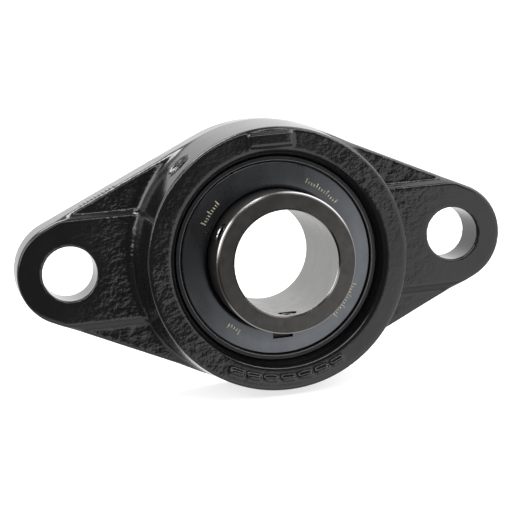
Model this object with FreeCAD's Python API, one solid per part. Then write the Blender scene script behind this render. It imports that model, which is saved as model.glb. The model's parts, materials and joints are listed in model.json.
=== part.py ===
import FreeCAD, Part
import math
import os

# Two-bolt flange bearing unit: a cast housing with a wide-inner-ring insert bearing.
# All sizes are in millimetres. The origin is on the shaft axis at the mounting face. +X runs
# along the row of bolt holes, +Z is up, +Y points into the wall and the nose points to -Y.
# Angles are measured round the shaft axis, from +X towards +Z.
# Inside the bearing, "d" is the distance along the shaft from the middle plane of the balls.

# ---- Shaft, inner ring and balls
SHAFT_R = 15.0
INNER_RING_WALL = 5.15
INNER_RING_NOSE = 22.2
INNER_RING_TAIL = 15.9
INNER_RING_EDGE = 0.7
BORE_EDGE = 0.5
BALL_R = 4.7625
BALL_COUNT = 9
FIRST_BALL_ANGLE = 90.0
INNER_RACE_DEPTH = 1.9125
OUTER_RACE_DEPTH = 1.9
RACE_CLEARANCE = 0.08
RACE_OPENNESS = 0.1875

# ---- Outer ring, with a spherical outside
OUTER_RING_WALL = 3.2375
OUTER_RING_RIM = 1.35
OUTER_RING_EDGE = 0.25
GREASE_GROOVE_WIDTH = 1.8
GREASE_GROOVE_DEPTH = 0.5
GREASE_HOLE_R = 0.75
GREASE_HOLE_TO_RACE = 0.15

# ---- Pressed steel cage in two halves
CAGE_SHEET = 0.6
POCKET_CLEARANCE = 0.15
CAGE_TO_INNER_LAND = 1.05
CAGE_TO_OUTER_LAND = 1.14
RIVET_R = 0.7
RIVET_HEAD_R = 1.2
RIVET_HEAD_HEIGHT = 0.5
RIVET_CLEARANCE = 0.02

# ---- Seals: two washers with a rubber lip between them on each side
CAGE_TO_SEAL = 0.5375
WASHER_SHEET = 0.5
LIP_THICKNESS = 0.7
WASHER_TO_INNER_RING = 0.9
LIP_TO_INNER_RING = 0.1
SEAL_TO_SEAT = 0.01

# ---- Flingers: pressed discs that turn with the inner ring
SEAL_TO_FLINGER = 0.35
FLINGER_SHEET = 0.6
FLINGER_RISE = 0.6
FLINGER_BEND_R = 0.6
FLINGER_HUB_LENGTH = 0.3
FLINGER_TO_RIM = 0.26
FLINGER_RECESS = 0.8
FLINGER_NOTCH_WIDTH = 5.9
FLINGER_NOTCH_REACH = 2.85
FLINGER_NOTCH_ANGLE = 270.0

# ---- Set screws in the nose of the inner ring
SCREW_R = 2.65
SCREW_CLEARANCE = 0.05
SCREW_LENGTH = 4.8
SCREW_TIP_TO_SHAFT = 0.2
SCREW_FROM_NOSE_END = 5.0
SCREW_ANGLES = (270.0, 150.0)
SCREW_SOCKET_FLATS = 3.0
SCREW_SOCKET_DEPTH = 2.2
SCREW_TIP_BEVEL = 0.6
SCREW_CUP_R = 1.3
SCREW_CUP_DEPTH = 0.5
SCREW_HOLE_BEVEL = 0.3

# ---- Housing
BOLT_SPACING = 117.0
BOLT_HOLE_R = 8.0
BOLT_HOLE_BEVEL = 0.4
LOBE_END_R = 15.5
WEB_THICKNESS = 11.8
PAD_RISE = 1.7
PAD_HALF_WIDTH = 15.2
PAD_SLOPE_RUN = 1.7
FLANGE_EDGE_R = 0.9
MOUNT_FACE_BEVEL = 0.5
HUB_BEYOND_COLLAR = 2.0
MOUNT_FACE_TO_BALLS = 18.0
COLLAR_WALL = 7.0
COLLAR_BEYOND_RING = 4.0
COLLAR_DRAFT = 1.6
COLLAR_EDGE_R = 1.0
COLLAR_ROOT_R = 2.2
SEAT_CLEARANCE = 0.05
MOUTH_INNER_GAP = 0.4
MOUTH_FLARE = 1.1
MOUTH_BEVEL = 0.7
REAR_GAP = 0.4
REAR_BEVEL = 0.8
LOADING_SLOT_CLEARANCE = 0.3

# ---- Lubrication port and its plug, on the upper left of the collar
PORT_ANGLE = 131.5
PORT_R = 2.5
PORT_SPOT_R = 3.8
PORT_SPOT_DEPTH = 0.6
PLUG_CLEARANCE = 0.02
PLUG_LENGTH = 4.6
PLUG_BELOW_SPOT = 0.5
PLUG_BEVEL = 0.4
PLUG_SOCKET_FLATS = 3.0
PLUG_SOCKET_DEPTH = 2.0

# ---- Sizes that follow from the ones above
INNER_LAND_R = SHAFT_R + INNER_RING_WALL
PITCH_R = INNER_LAND_R - INNER_RACE_DEPTH + BALL_R
OUTER_RACE_R = PITCH_R + BALL_R + RACE_CLEARANCE
OUTER_LAND_R = OUTER_RACE_R - OUTER_RACE_DEPTH
SPHERE_R = PITCH_R + BALL_R + OUTER_RING_WALL
RACE_CURVE_R = BALL_R + RACE_OPENNESS
CAGE_HALF_DEPTH = BALL_R + POCKET_CLEARANCE + CAGE_SHEET
SEAL_START = CAGE_HALF_DEPTH + CAGE_TO_SEAL
LIP_START = SEAL_START + WASHER_SHEET
OUTER_WASHER_START = LIP_START + LIP_THICKNESS
SEAL_END = OUTER_WASHER_START + WASHER_SHEET
FLINGER_START = SEAL_END + SEAL_TO_FLINGER
OUTER_RING_HALF = FLINGER_START + FLINGER_SHEET + FLINGER_RECESS
RING_FACE_R = math.sqrt(SPHERE_R ** 2 - OUTER_RING_HALF ** 2)
SEAL_SEAT_R = RING_FACE_R - OUTER_RING_RIM
COLLAR_R = SPHERE_R + COLLAR_WALL
HUB_R = COLLAR_R + HUB_BEYOND_COLLAR
COLLAR_DEPTH = MOUNT_FACE_TO_BALLS + OUTER_RING_HALF + COLLAR_BEYOND_RING
SCREW_D = INNER_RING_NOSE - SCREW_FROM_NOSE_END

FRONT = 1
REAR = -1
OVERCUT = 5.0
AXIS = FreeCAD.Vector(0, 1, 0)
ORIGIN = FreeCAD.Vector(0, 0, 0)


# ---- Helpers

def along(side, d):
    """Y of a plane at distance d from the balls, on the front (nose) or the rear side."""
    return -MOUNT_FACE_TO_BALLS - side * d


def flat_profile(path, place):
    """A face from a path of points; a step of four numbers is an arc through a point to its end."""
    corners = [place(*step[-2:]) for step in path]
    edges = []
    for index, step in enumerate(path):
        start = corners[index - 1]
        if len(step) == 4:
            edges.append(Part.Arc(start, place(*step[:2]), corners[index]).toShape())
        else:
            edges.append(Part.LineSegment(start, corners[index]).toShape())
    return Part.Face(Part.Wire(edges))


def turned(path):
    """A solid turned about the shaft axis from a path of (radius, y) steps."""
    return full_turn(flat_profile(path, lambda r, y: FreeCAD.Vector(r, y, 0)))


def turned_side(side, path):
    """A solid turned from (radius, d) steps on one side of the balls."""
    return full_turn(flat_profile(path, lambda r, d: FreeCAD.Vector(r, along(side, d), 0)))


def full_turn(face):
    """A face turned once round the shaft axis, the way that points the solid's faces outwards."""
    solid = face.revolve(ORIGIN, AXIS, 360)
    if solid.Volume < 0:
        solid = face.revolve(ORIGIN, AXIS.negative(), 360)
    return solid


def ring(inner_r, outer_r, start, end, side=FRONT):
    """A plain washer between two distances from the balls."""
    return turned_side(side, [(inner_r, start), (outer_r, start), (outer_r, end), (inner_r, end)])


def at_angle(solid, angle):
    """A solid that lies along +X, turned round the shaft axis to its angle."""
    placed = solid.copy()
    placed.rotate(ORIGIN, FreeCAD.Vector(0, -1, 0), angle)
    return placed


def spoke(radius, start, end, y):
    """A cylinder along +X between two distances from the shaft axis."""
    return Part.makeCylinder(radius, end - start, FreeCAD.Vector(start, y, 0), FreeCAD.Vector(1, 0, 0))


def spoke_cone(start_r, end_r, start, end, y):
    """A cone along +X between two distances from the shaft axis."""
    base = FreeCAD.Vector(start, y, 0)
    return Part.makeCone(start_r, end_r, end - start, base, FreeCAD.Vector(1, 0, 0))


def hexagon(across_flats, start, end, y):
    """A hexagonal prism along +X, for a wrench socket."""
    corner_r = across_flats / math.sqrt(3)
    turns = [math.radians(60 * k) for k in range(7)]
    points = [FreeCAD.Vector(start, y + corner_r * math.cos(a), corner_r * math.sin(a)) for a in turns]
    return Part.Face(Part.makePolygon(points)).extrude(FreeCAD.Vector(end - start, 0, 0))


def socket_screw(radius, tip, head, y, bevel, flats, depth):
    """A headless socket screw along +X, with bevelled ends."""
    body = spoke(radius, tip + bevel, head - bevel, y)
    body = body.fuse(spoke_cone(radius - bevel, radius, tip, tip + bevel, y))
    body = body.fuse(spoke_cone(radius, radius - bevel, head - bevel, head, y))
    return body.cut(hexagon(flats, head - depth, head + OVERCUT, y)).removeSplitter()


def save(node, shape):
    """Write one named piece."""
    shape.exportStep("parts/" + node + ".step")


# ---- Housing

def flange_outline():
    """The flange's outline: the hub circle and both lobe ends, joined by tangent lines."""
    reach = BOLT_SPACING / 2
    lean = math.acos((HUB_R - LOBE_END_R) / reach)
    hub_x = HUB_R * math.cos(lean)
    hub_z = HUB_R * math.sin(lean)
    end_x = reach + LOBE_END_R * math.cos(lean)
    end_z = LOBE_END_R * math.sin(lean)
    tip = reach + LOBE_END_R
    path = [(hub_x, hub_z), (0, HUB_R, -hub_x, hub_z), (-end_x, end_z), (-tip, 0, -end_x, -end_z),
            (-hub_x, -hub_z), (0, -HUB_R, hub_x, -hub_z), (end_x, -end_z), (tip, 0, end_x, end_z)]
    return flat_profile(path, lambda x, z: FreeCAD.Vector(x, 0, z))


def flange_block(thickness):
    """The outline at a thickness, with a rounded front edge and a bevelled mounting edge."""
    block = flange_outline().extrude(FreeCAD.Vector(0, -thickness, 0))

    def edges_at(y):
        return [e for e in block.Edges if abs(e.BoundBox.YMin - y) + abs(e.BoundBox.YMax - y) < 1e-4]

    block = block.makeFillet(FLANGE_EDGE_R, edges_at(-thickness))
    return block.makeChamfer(MOUNT_FACE_BEVEL, edges_at(0))


def bolt_pads():
    """The raised strip that carries both bolt faces, with sloping sides, inside the outline."""
    top = WEB_THICKNESS + PAD_RISE
    low = PAD_HALF_WIDTH + PAD_SLOPE_RUN
    length = BOLT_SPACING + 2 * LOBE_END_R + 2 * OVERCUT
    path = [(low, -WEB_THICKNESS + PAD_RISE), (low, -WEB_THICKNESS), (PAD_HALF_WIDTH, -top),
            (-PAD_HALF_WIDTH, -top), (-low, -WEB_THICKNESS), (-low, -WEB_THICKNESS + PAD_RISE)]
    strip = flat_profile(path, lambda z, y: FreeCAD.Vector(-length / 2, y, z))
    return strip.extrude(FreeCAD.Vector(length, 0, 0)).common(flange_block(top))


def collar():
    """The round collar, with draft, a rounded outer edge and a rounded root on the web."""
    root_r = COLLAR_R + COLLAR_DRAFT
    half = math.sqrt(0.5)
    edge_r = COLLAR_R - COLLAR_EDGE_R
    root_top = WEB_THICKNESS + COLLAR_ROOT_R
    path = [(0, -COLLAR_DEPTH), (edge_r, -COLLAR_DEPTH),
            (edge_r + COLLAR_EDGE_R * half, -COLLAR_DEPTH + COLLAR_EDGE_R * (1 - half),
             COLLAR_R, -COLLAR_DEPTH + COLLAR_EDGE_R),
            (root_r, -root_top),
            (root_r + COLLAR_ROOT_R * (1 - half), -root_top + COLLAR_ROOT_R * half,
             root_r + COLLAR_ROOT_R, -WEB_THICKNESS),
            (root_r + COLLAR_ROOT_R, -MOUNT_FACE_BEVEL), (0, -MOUNT_FACE_BEVEL)]
    keep = flange_outline().extrude(FreeCAD.Vector(0, -COLLAR_DEPTH - OVERCUT, 0))
    return turned(path).common(keep)


def seat_space():
    """What the bore removes: the spherical seat, the mouth in front and the opening behind."""
    seat = Part.makeSphere(SPHERE_R + SEAT_CLEARANCE, FreeCAD.Vector(0, -MOUNT_FACE_TO_BALLS, 0))
    ring_front = along(FRONT, OUTER_RING_HALF)
    mouth_r = RING_FACE_R + MOUTH_INNER_GAP
    face_r = mouth_r + MOUTH_FLARE
    face = -COLLAR_DEPTH
    mouth = turned([(0, ring_front), (mouth_r, ring_front), (face_r, face + MOUTH_BEVEL),
                    (face_r + MOUTH_BEVEL, face), (face_r + MOUTH_BEVEL, face - OVERCUT),
                    (0, face - OVERCUT)])
    ring_rear = along(REAR, OUTER_RING_HALF)
    rear_r = RING_FACE_R + REAR_GAP
    opening = turned([(0, ring_rear), (rear_r, ring_rear), (rear_r, -REAR_BEVEL),
                      (rear_r + REAR_BEVEL, 0), (rear_r + REAR_BEVEL, OVERCUT), (0, OVERCUT)])
    return seat.fuse([mouth, opening, loading_slots()])


def loading_slots():
    """Two slots behind the seat, through which the outer ring goes in edgewise."""
    half = OUTER_RING_HALF + LOADING_SLOT_CLEARANCE
    reach = SPHERE_R + 2 * SEAT_CLEARANCE
    corner = FreeCAD.Vector(-reach, -MOUNT_FACE_TO_BALLS, -half)
    slab = Part.makeBox(2 * reach, MOUNT_FACE_TO_BALLS + OVERCUT, 2 * half, corner)
    limit = turned([(0, -MOUNT_FACE_TO_BALLS), (reach, -MOUNT_FACE_TO_BALLS), (reach, OVERCUT),
                    (0, OVERCUT)])
    return slab.common(limit)


def bolt_hole(x):
    """What one bolt hole removes, with both of its edges broken."""
    top = WEB_THICKNESS + PAD_RISE
    flare = BOLT_HOLE_R + BOLT_HOLE_BEVEL
    drill = turned([(0, OVERCUT), (flare, OVERCUT), (flare, 0), (BOLT_HOLE_R, -BOLT_HOLE_BEVEL),
                    (BOLT_HOLE_R, -top + BOLT_HOLE_BEVEL), (flare, -top), (flare, -top - OVERCUT),
                    (0, -top - OVERCUT)])
    drill.translate(FreeCAD.Vector(x, 0, 0))
    return drill


def port_d():
    """Distance of the lubrication port and groove from the balls: beside the outer race."""
    return race_half_width(OUTER_LAND_R, OUTER_RACE_R - RACE_CURVE_R) + GREASE_HOLE_TO_RACE + GREASE_HOLE_R


def port_spot():
    """Distance from the shaft axis to the flat spot that the port opens in."""
    wall_height = COLLAR_DEPTH - COLLAR_EDGE_R - WEB_THICKNESS - COLLAR_ROOT_R
    from_face = COLLAR_DEPTH - COLLAR_EDGE_R + along(FRONT, port_d())
    return COLLAR_R + COLLAR_DRAFT * from_face / wall_height - PORT_SPOT_DEPTH


def port_space():
    """What the lubrication port removes from the collar."""
    y = along(FRONT, port_d())
    hole = spoke(PORT_R, SPHERE_R - OUTER_RING_WALL, HUB_R + OVERCUT, y)
    spot = spoke(PORT_SPOT_R, port_spot(), HUB_R + OVERCUT, y)
    return at_angle(hole.fuse(spot), PORT_ANGLE)


def housing():
    """The cast housing."""
    body = flange_block(WEB_THICKNESS).fuse([bolt_pads(), collar()]).removeSplitter()
    body = body.cut(seat_space())
    body = body.cut([bolt_hole(-BOLT_SPACING / 2), bolt_hole(BOLT_SPACING / 2), port_space()])
    return body


def grease_port_plug():
    """The socket plug that closes the lubrication port, below the flat spot."""
    head = port_spot() - PLUG_BELOW_SPOT
    plug = socket_screw(PORT_R - PLUG_CLEARANCE, head - PLUG_LENGTH, head, along(FRONT, port_d()),
                        PLUG_BEVEL, PLUG_SOCKET_FLATS, PLUG_SOCKET_DEPTH)
    return at_angle(plug, PORT_ANGLE)


# ---- Insert bearing

def race_half_width(land_r, curve_centre_r):
    """Half the width of a race groove where it meets its land."""
    return math.sqrt(RACE_CURVE_R ** 2 - (land_r - curve_centre_r) ** 2)


def inner_ring():
    """The wide inner ring, with its race, bevelled ends and threaded holes."""
    race_r = INNER_LAND_R - INNER_RACE_DEPTH - RACE_CLEARANCE
    half = race_half_width(INNER_LAND_R, race_r + RACE_CURVE_R)
    path = [(SHAFT_R + BORE_EDGE, -INNER_RING_TAIL),
            (INNER_LAND_R - INNER_RING_EDGE, -INNER_RING_TAIL),
            (INNER_LAND_R, -INNER_RING_TAIL + INNER_RING_EDGE), (INNER_LAND_R, -half),
            (race_r, 0, INNER_LAND_R, half), (INNER_LAND_R, INNER_RING_NOSE - INNER_RING_EDGE),
            (INNER_LAND_R - INNER_RING_EDGE, INNER_RING_NOSE), (SHAFT_R + BORE_EDGE, INNER_RING_NOSE),
            (SHAFT_R, INNER_RING_NOSE - BORE_EDGE), (SHAFT_R, -INNER_RING_TAIL + BORE_EDGE)]
    body = turned_side(FRONT, path)
    y = along(FRONT, SCREW_D)
    hole_r = SCREW_R + SCREW_CLEARANCE
    hole = spoke(hole_r, SHAFT_R - OVERCUT, INNER_LAND_R + OVERCUT, y)
    bevel = spoke_cone(hole_r - SCREW_HOLE_BEVEL, hole_r + SCREW_HOLE_BEVEL,
                       INNER_LAND_R - 2 * SCREW_HOLE_BEVEL, INNER_LAND_R, y)
    hole = hole.fuse(bevel)
    return body.cut([at_angle(hole, angle) for angle in SCREW_ANGLES])


def set_screw(angle):
    """One set screw with a cup point, almost home on the shaft."""
    y = along(FRONT, SCREW_D)
    tip = SHAFT_R + SCREW_TIP_TO_SHAFT
    screw = socket_screw(SCREW_R, tip, tip + SCREW_LENGTH, y, SCREW_TIP_BEVEL,
                         SCREW_SOCKET_FLATS, SCREW_SOCKET_DEPTH)
    cup = spoke_cone(SCREW_CUP_R, 0, tip, tip + SCREW_CUP_DEPTH, y)
    return at_angle(screw.cut(cup), angle)


def outer_ring():
    """The outer ring: spherical outside, race, seal seats, and lubrication groove and holes."""
    half_width = race_half_width(OUTER_LAND_R, OUTER_RACE_R - RACE_CURVE_R)
    end = OUTER_RING_HALF
    path = [(SEAL_SEAT_R + OUTER_RING_EDGE, -end), (RING_FACE_R, -end), (SPHERE_R, 0, RING_FACE_R, end),
            (SEAL_SEAT_R + OUTER_RING_EDGE, end), (SEAL_SEAT_R, end - OUTER_RING_EDGE),
            (SEAL_SEAT_R, SEAL_START), (OUTER_LAND_R, SEAL_START), (OUTER_LAND_R, half_width),
            (OUTER_RACE_R, 0, OUTER_LAND_R, -half_width), (OUTER_LAND_R, -SEAL_START),
            (SEAL_SEAT_R, -SEAL_START), (SEAL_SEAT_R, -end + OUTER_RING_EDGE)]
    body = turned_side(FRONT, path)
    groove_d = port_d()
    floor_r = math.sqrt(SPHERE_R ** 2 - groove_d ** 2) - GREASE_GROOVE_DEPTH
    groove = ring(floor_r, SPHERE_R + OVERCUT, groove_d - GREASE_GROOVE_WIDTH / 2,
                  groove_d + GREASE_GROOVE_WIDTH / 2)
    hole = spoke(GREASE_HOLE_R, INNER_LAND_R, SPHERE_R + OVERCUT, along(FRONT, groove_d))
    return body.cut([groove, at_angle(hole, PORT_ANGLE), at_angle(hole, PORT_ANGLE + 180)])


def ball_angle(number):
    """The angle of ball 1, 2 and so on."""
    return FIRST_BALL_ANGLE + (number - 1) * 360.0 / BALL_COUNT


def ball(number):
    """One ball at rest between the races."""
    centre = FreeCAD.Vector(PITCH_R, -MOUNT_FACE_TO_BALLS, 0)
    return at_angle(Part.makeSphere(BALL_R, centre), ball_angle(number))


def rivet_angles():
    """The rivets stand half way between the balls."""
    return [ball_angle(number + 0.5) for number in range(1, BALL_COUNT + 1)]


def axial_pin(radius, start, end):
    """A cylinder along the shaft's direction on the pitch circle, between two values of d."""
    base = FreeCAD.Vector(PITCH_R, along(FRONT, end), 0)
    return Part.makeCylinder(radius, end - start, base, AXIS)


def cage_half(side):
    """One half of the cage: a flat ring with a domed pocket over each ball."""
    inner_r = INNER_LAND_R + CAGE_TO_INNER_LAND
    outer_r = OUTER_LAND_R - CAGE_TO_OUTER_LAND
    band = ring(inner_r, outer_r, 0, CAGE_HALF_DEPTH, side)
    hollow_r = BALL_R + POCKET_CLEARANCE
    centre = FreeCAD.Vector(PITCH_R, -MOUNT_FACE_TO_BALLS, 0)
    angles = [ball_angle(number) for number in range(1, BALL_COUNT + 1)]
    poles = AXIS * -side
    domes = [at_angle(Part.makeSphere(hollow_r + CAGE_SHEET, centre, poles), angle) for angle in angles]
    hollows = [at_angle(Part.makeSphere(hollow_r, centre, poles), angle) for angle in angles]
    hole = axial_pin(RIVET_R + RIVET_CLEARANCE, -CAGE_HALF_DEPTH, CAGE_HALF_DEPTH)
    sheet = ring(inner_r, outer_r, 0, CAGE_SHEET, side)
    sheet = sheet.cut([at_angle(hole, angle) for angle in rivet_angles()])
    return sheet.fuse([dome.common(band) for dome in domes]).cut(hollows)


def cage_rivets():
    """The rivets that join the two halves, each with a head at both ends."""
    shank = axial_pin(RIVET_R, -CAGE_SHEET, CAGE_SHEET)
    front_head = axial_pin(RIVET_HEAD_R, CAGE_SHEET, CAGE_SHEET + RIVET_HEAD_HEIGHT)
    rear_head = axial_pin(RIVET_HEAD_R, -CAGE_SHEET - RIVET_HEAD_HEIGHT, -CAGE_SHEET)
    rivet = shank.fuse([front_head, rear_head]).removeSplitter()
    return Part.Compound([at_angle(rivet, angle) for angle in rivet_angles()])


def seal_pieces(side):
    """The three rings of one seal: inner washer, rubber lip and outer washer."""
    washer_r = INNER_LAND_R + WASHER_TO_INNER_RING
    seat_r = SEAL_SEAT_R - SEAL_TO_SEAT
    lip_r = INNER_LAND_R + LIP_TO_INNER_RING
    return {
        "seal_inner_washer": ring(washer_r, seat_r, SEAL_START, LIP_START, side),
        "seal_lip": ring(lip_r, seat_r, LIP_START, OUTER_WASHER_START, side),
        "seal_outer_washer": ring(washer_r, seat_r, OUTER_WASHER_START, SEAL_END, side),
    }


def flinger(side):
    """One flinger: a slightly conical disc whose hub is bent in and pressed on the inner ring."""
    rim_r = SEAL_SEAT_R - FLINGER_TO_RIM
    bend_r = INNER_LAND_R + FLINGER_SHEET + FLINGER_BEND_R
    top = FLINGER_START + FLINGER_SHEET + FLINGER_RISE
    under = top - FLINGER_SHEET
    bend_d = under - FLINGER_BEND_R
    hub_end = bend_d - FLINGER_HUB_LENGTH
    half = math.sqrt(0.5)
    outer_bend = FLINGER_SHEET + FLINGER_BEND_R
    path = [(rim_r, FLINGER_START), (rim_r, FLINGER_START + FLINGER_SHEET), (bend_r, top),
            (bend_r - outer_bend * half, bend_d + outer_bend * half, INNER_LAND_R, bend_d),
            (INNER_LAND_R, hub_end), (INNER_LAND_R + FLINGER_SHEET, hub_end),
            (INNER_LAND_R + FLINGER_SHEET, bend_d),
            (bend_r - FLINGER_BEND_R * half, bend_d + FLINGER_BEND_R * half, bend_r, under)]
    corner = FreeCAD.Vector(0, min(along(side, 0), along(side, top + OVERCUT)), -FLINGER_NOTCH_WIDTH / 2)
    notch = Part.makeBox(INNER_LAND_R + FLINGER_NOTCH_REACH, top + OVERCUT, FLINGER_NOTCH_WIDTH, corner)
    return turned_side(side, path).cut(at_angle(notch, FLINGER_NOTCH_ANGLE))


def main():
    """Build and write every piece."""
    os.makedirs("parts", exist_ok=True)
    save("housing", housing())
    save("grease_port_plug", grease_port_plug())
    save("outer_ring", outer_ring())
    save("inner_ring", inner_ring())
    for number in range(1, BALL_COUNT + 1):
        save("ball_" + str(number), ball(number))
    for side, word in ((FRONT, "front"), (REAR, "rear")):
        save("cage_" + word, cage_half(side))
        save("flinger_" + word, flinger(side))
        for name, shape in seal_pieces(side).items():
            save(name + "_" + word, shape)
    save("cage_rivets", cage_rivets())
    for number, angle in enumerate(SCREW_ANGLES, start=1):
        save("set_screw_" + str(number), set_screw(angle))


main()
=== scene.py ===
import json
import logging
import math
from dataclasses import dataclass
from enum import Enum
from typing import Callable, Iterable, Sequence

import bpy
import numpy as np
from mathutils import Matrix, Vector


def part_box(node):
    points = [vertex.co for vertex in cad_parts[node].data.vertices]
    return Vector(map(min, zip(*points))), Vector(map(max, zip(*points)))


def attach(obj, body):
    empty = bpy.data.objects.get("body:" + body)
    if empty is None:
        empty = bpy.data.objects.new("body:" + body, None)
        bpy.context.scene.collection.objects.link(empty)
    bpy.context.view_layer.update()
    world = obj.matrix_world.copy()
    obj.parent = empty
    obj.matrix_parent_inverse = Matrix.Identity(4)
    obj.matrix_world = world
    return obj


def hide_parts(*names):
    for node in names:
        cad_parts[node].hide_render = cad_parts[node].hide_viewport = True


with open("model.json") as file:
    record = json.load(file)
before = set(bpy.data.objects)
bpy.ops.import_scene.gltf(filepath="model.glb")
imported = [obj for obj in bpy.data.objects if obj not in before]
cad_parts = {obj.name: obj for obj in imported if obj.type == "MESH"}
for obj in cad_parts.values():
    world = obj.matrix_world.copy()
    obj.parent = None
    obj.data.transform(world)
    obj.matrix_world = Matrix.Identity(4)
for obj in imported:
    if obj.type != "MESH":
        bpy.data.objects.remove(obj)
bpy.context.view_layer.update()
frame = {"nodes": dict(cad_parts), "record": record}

# Two-bolt flange bearing unit. Shapes are worked out in millimetres and put into meshes in metres.
# The shaft axis is Y. "Depth" is the distance from the mounting face towards the nose, so it is -y.
# Angles are measured round the shaft axis, from +X towards +Z, in degrees.

MM = 0.001
LOG = logging.getLogger("flange_bearing")

Array = np.ndarray
Field = Callable[[Array, Array, Array], Array]


# ---------------------------------------------------------------- numpy shapes


def fillet_or(a: Array, b: Array, radius: float | Array) -> Array:
    """Joins two distance fields and rounds the inside corner between them.

    The smaller distance counts, and where both are under the radius, a quarter circle of that
    radius fills the corner.

    Args:
        a: Distance to the first shape.
        b: Distance to the second shape.
        radius: Radius of the rounded corner.

    Returns:
        The distance to the joined shape.
    """
    corner = np.hypot(np.maximum(radius - a, 0), np.maximum(radius - b, 0))
    return np.maximum(radius, np.minimum(a, b)) - corner


def round_and(a: Array, b: Array, radius: float | Array) -> Array:
    """Keeps what two distance fields share and rounds the outside edge between them.

    The larger distance counts, and near the edge a quarter circle of the radius replaces it.

    Args:
        a: Distance to the first shape.
        b: Distance to the second shape.
        radius: Radius of the rounded edge.

    Returns:
        The distance to the shared shape.
    """
    edge = np.hypot(np.maximum(radius + a, 0), np.maximum(radius + b, 0))
    return np.minimum(-radius, np.maximum(a, b)) + edge


def smooth_step(low: float, high: float, x: Array) -> Array:
    """Rises from 0 at low to 1 at high along the curve 3t^2 - 2t^3."""
    t = np.clip((x - low) / (high - low), 0, 1)
    return t * t * (3 - 2 * t)


@dataclass(frozen=True)
class Lumps:
    """Smooth random lumps: seeded values on a cubic lattice, blended between lattice points."""

    seed: int
    cells: int = 48

    def __call__(self, points: Array, wavelength: Sequence[float]) -> Array:
        """Reads the lumps at points.

        Each point falls in a lattice cell; the cell's eight values are blended with a fifth
        degree curve along each axis, so that slopes run on from cell to cell.

        Args:
            points: Points as rows of x, y and z.
            wavelength: Lattice spacing along each axis.

        Returns:
            One value a point, about -1 to 1.
        """
        table = np.random.default_rng(self.seed).uniform(-1, 1, (self.cells,) * 3)
        scaled = points / np.asarray(wavelength)
        base = np.floor(scaled).astype(int)
        part = scaled - base
        part = part ** 3 * (part * (part * 6 - 15) + 10)
        total = np.zeros(len(points))
        for corner in np.ndindex(2, 2, 2):
            at = tuple(((base + corner) % self.cells).T)
            weight = np.where(np.array(corner, bool), part, 1 - part).prod(axis=1)
            total += table[at] * weight
        return total


def cell_edges() -> list[tuple[tuple[int, int, int], tuple[int, int, int]]]:
    """The twelve edges of a cube, each as two corners that differ along one axis."""
    corners = list(np.ndindex(2, 2, 2))
    return [(a, b) for a in corners for b in corners if a < b and sum(np.subtract(b, a)) == 1]


def gradient(shape: Field, points: Array, reach: float) -> Array:
    """The slope of a distance field at points, from its values a little way off on each side."""
    slopes = []
    for axis in range(3):
        step = np.zeros(3)
        step[axis] = reach
        ahead, behind = (points + step).T, (points - step).T
        slopes.append((shape(*ahead) - shape(*behind)) / (2 * reach))
    return np.stack(slopes, axis=1)


def field_surface(shape: Field, low: Array, high: Array, step: float) -> tuple[Array, Array]:
    """The closed surface where a distance field is zero, as points and four-sided faces.

    The field is read on a grid. Each cell that the surface crosses gets one point, the mean of
    the places where its edges cross zero, and each grid edge that crosses zero gets one face
    through the four cells round it. Then the points are evened out along the surface and moved
    back onto it along the field's slope.

    Args:
        shape: The distance field, negative inside.
        low: Lowest corner of the grid.
        high: Highest corner of the grid.
        step: Grid spacing.

    Returns:
        The points as rows and the faces as rows of four point numbers, turned outwards.
    """
    axes = [np.arange(l, h + step, step) for l, h in zip(low, high)]
    values = shape(*np.meshgrid(*axes, indexing="ij")).astype(np.float32)
    inside = values < 0
    size = np.array(values.shape)

    def corner_view(grid: Array, corner: tuple[int, int, int]) -> Array:
        """The grid's values at one corner of every cell."""
        return grid[tuple(slice(c, n - 1 + c) for c, n in zip(corner, size))]

    count = sum(corner_view(inside, c).astype(np.int8) for c in np.ndindex(2, 2, 2))
    crossed = (count > 0) & (count < 8)
    cells = np.argwhere(crossed)
    number = np.full(crossed.shape, -1)
    number[crossed] = np.arange(len(cells))
    total = np.zeros((len(cells), 3))
    hits = np.zeros(len(cells))
    for a, b in cell_edges():
        value_a, value_b = values[tuple((cells + a).T)], values[tuple((cells + b).T)]
        hit = (value_a < 0) != (value_b < 0)
        share = np.where(hit, value_a / np.where(hit, value_a - value_b, 1), 0)
        total += hit[:, None] * (np.array(a) + share[:, None] * np.subtract(b, a))
        hits += hit
    points = np.array(low) + step * (cells + total / hits[:, None])

    faces = []
    for axis in range(3):
        one, two = (axis + 1) % 3, (axis + 2) % 3
        near = [slice(1, n - 1) for n in size]
        near[axis] = slice(0, size[axis] - 1)
        far = list(near)
        far[axis] = slice(1, size[axis])
        start, end = inside[tuple(near)], inside[tuple(far)]
        at = np.argwhere(start != end) + np.array([0 if k == axis else 1 for k in range(3)])
        outwards = start[start != end]
        ring = []
        for back_one, back_two in ((1, 1), (0, 1), (0, 0), (1, 0)):
            cell = at.copy()
            cell[:, one] -= back_one
            cell[:, two] -= back_two
            ring.append(number[tuple(cell.T)])
        quads = np.stack(ring, axis=1)
        quads[~outwards] = quads[~outwards, ::-1]
        faces.append(quads)
    quads = np.concatenate(faces)
    return settle(shape, points, quads, step), quads


def neighbour_mean(points: Array, quads: Array) -> Array:
    """The mean of each point's neighbours along the faces' sides."""
    total = np.zeros_like(points)
    count = np.zeros(len(points))
    for turn in (1, -1):
        other = np.roll(quads, turn, axis=1).ravel()
        for axis in range(3):
            total[:, axis] += np.bincount(quads.ravel(), points[other, axis], len(points))
        count += np.bincount(quads.ravel(), minlength=len(points))
    return total / count[:, None]


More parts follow.
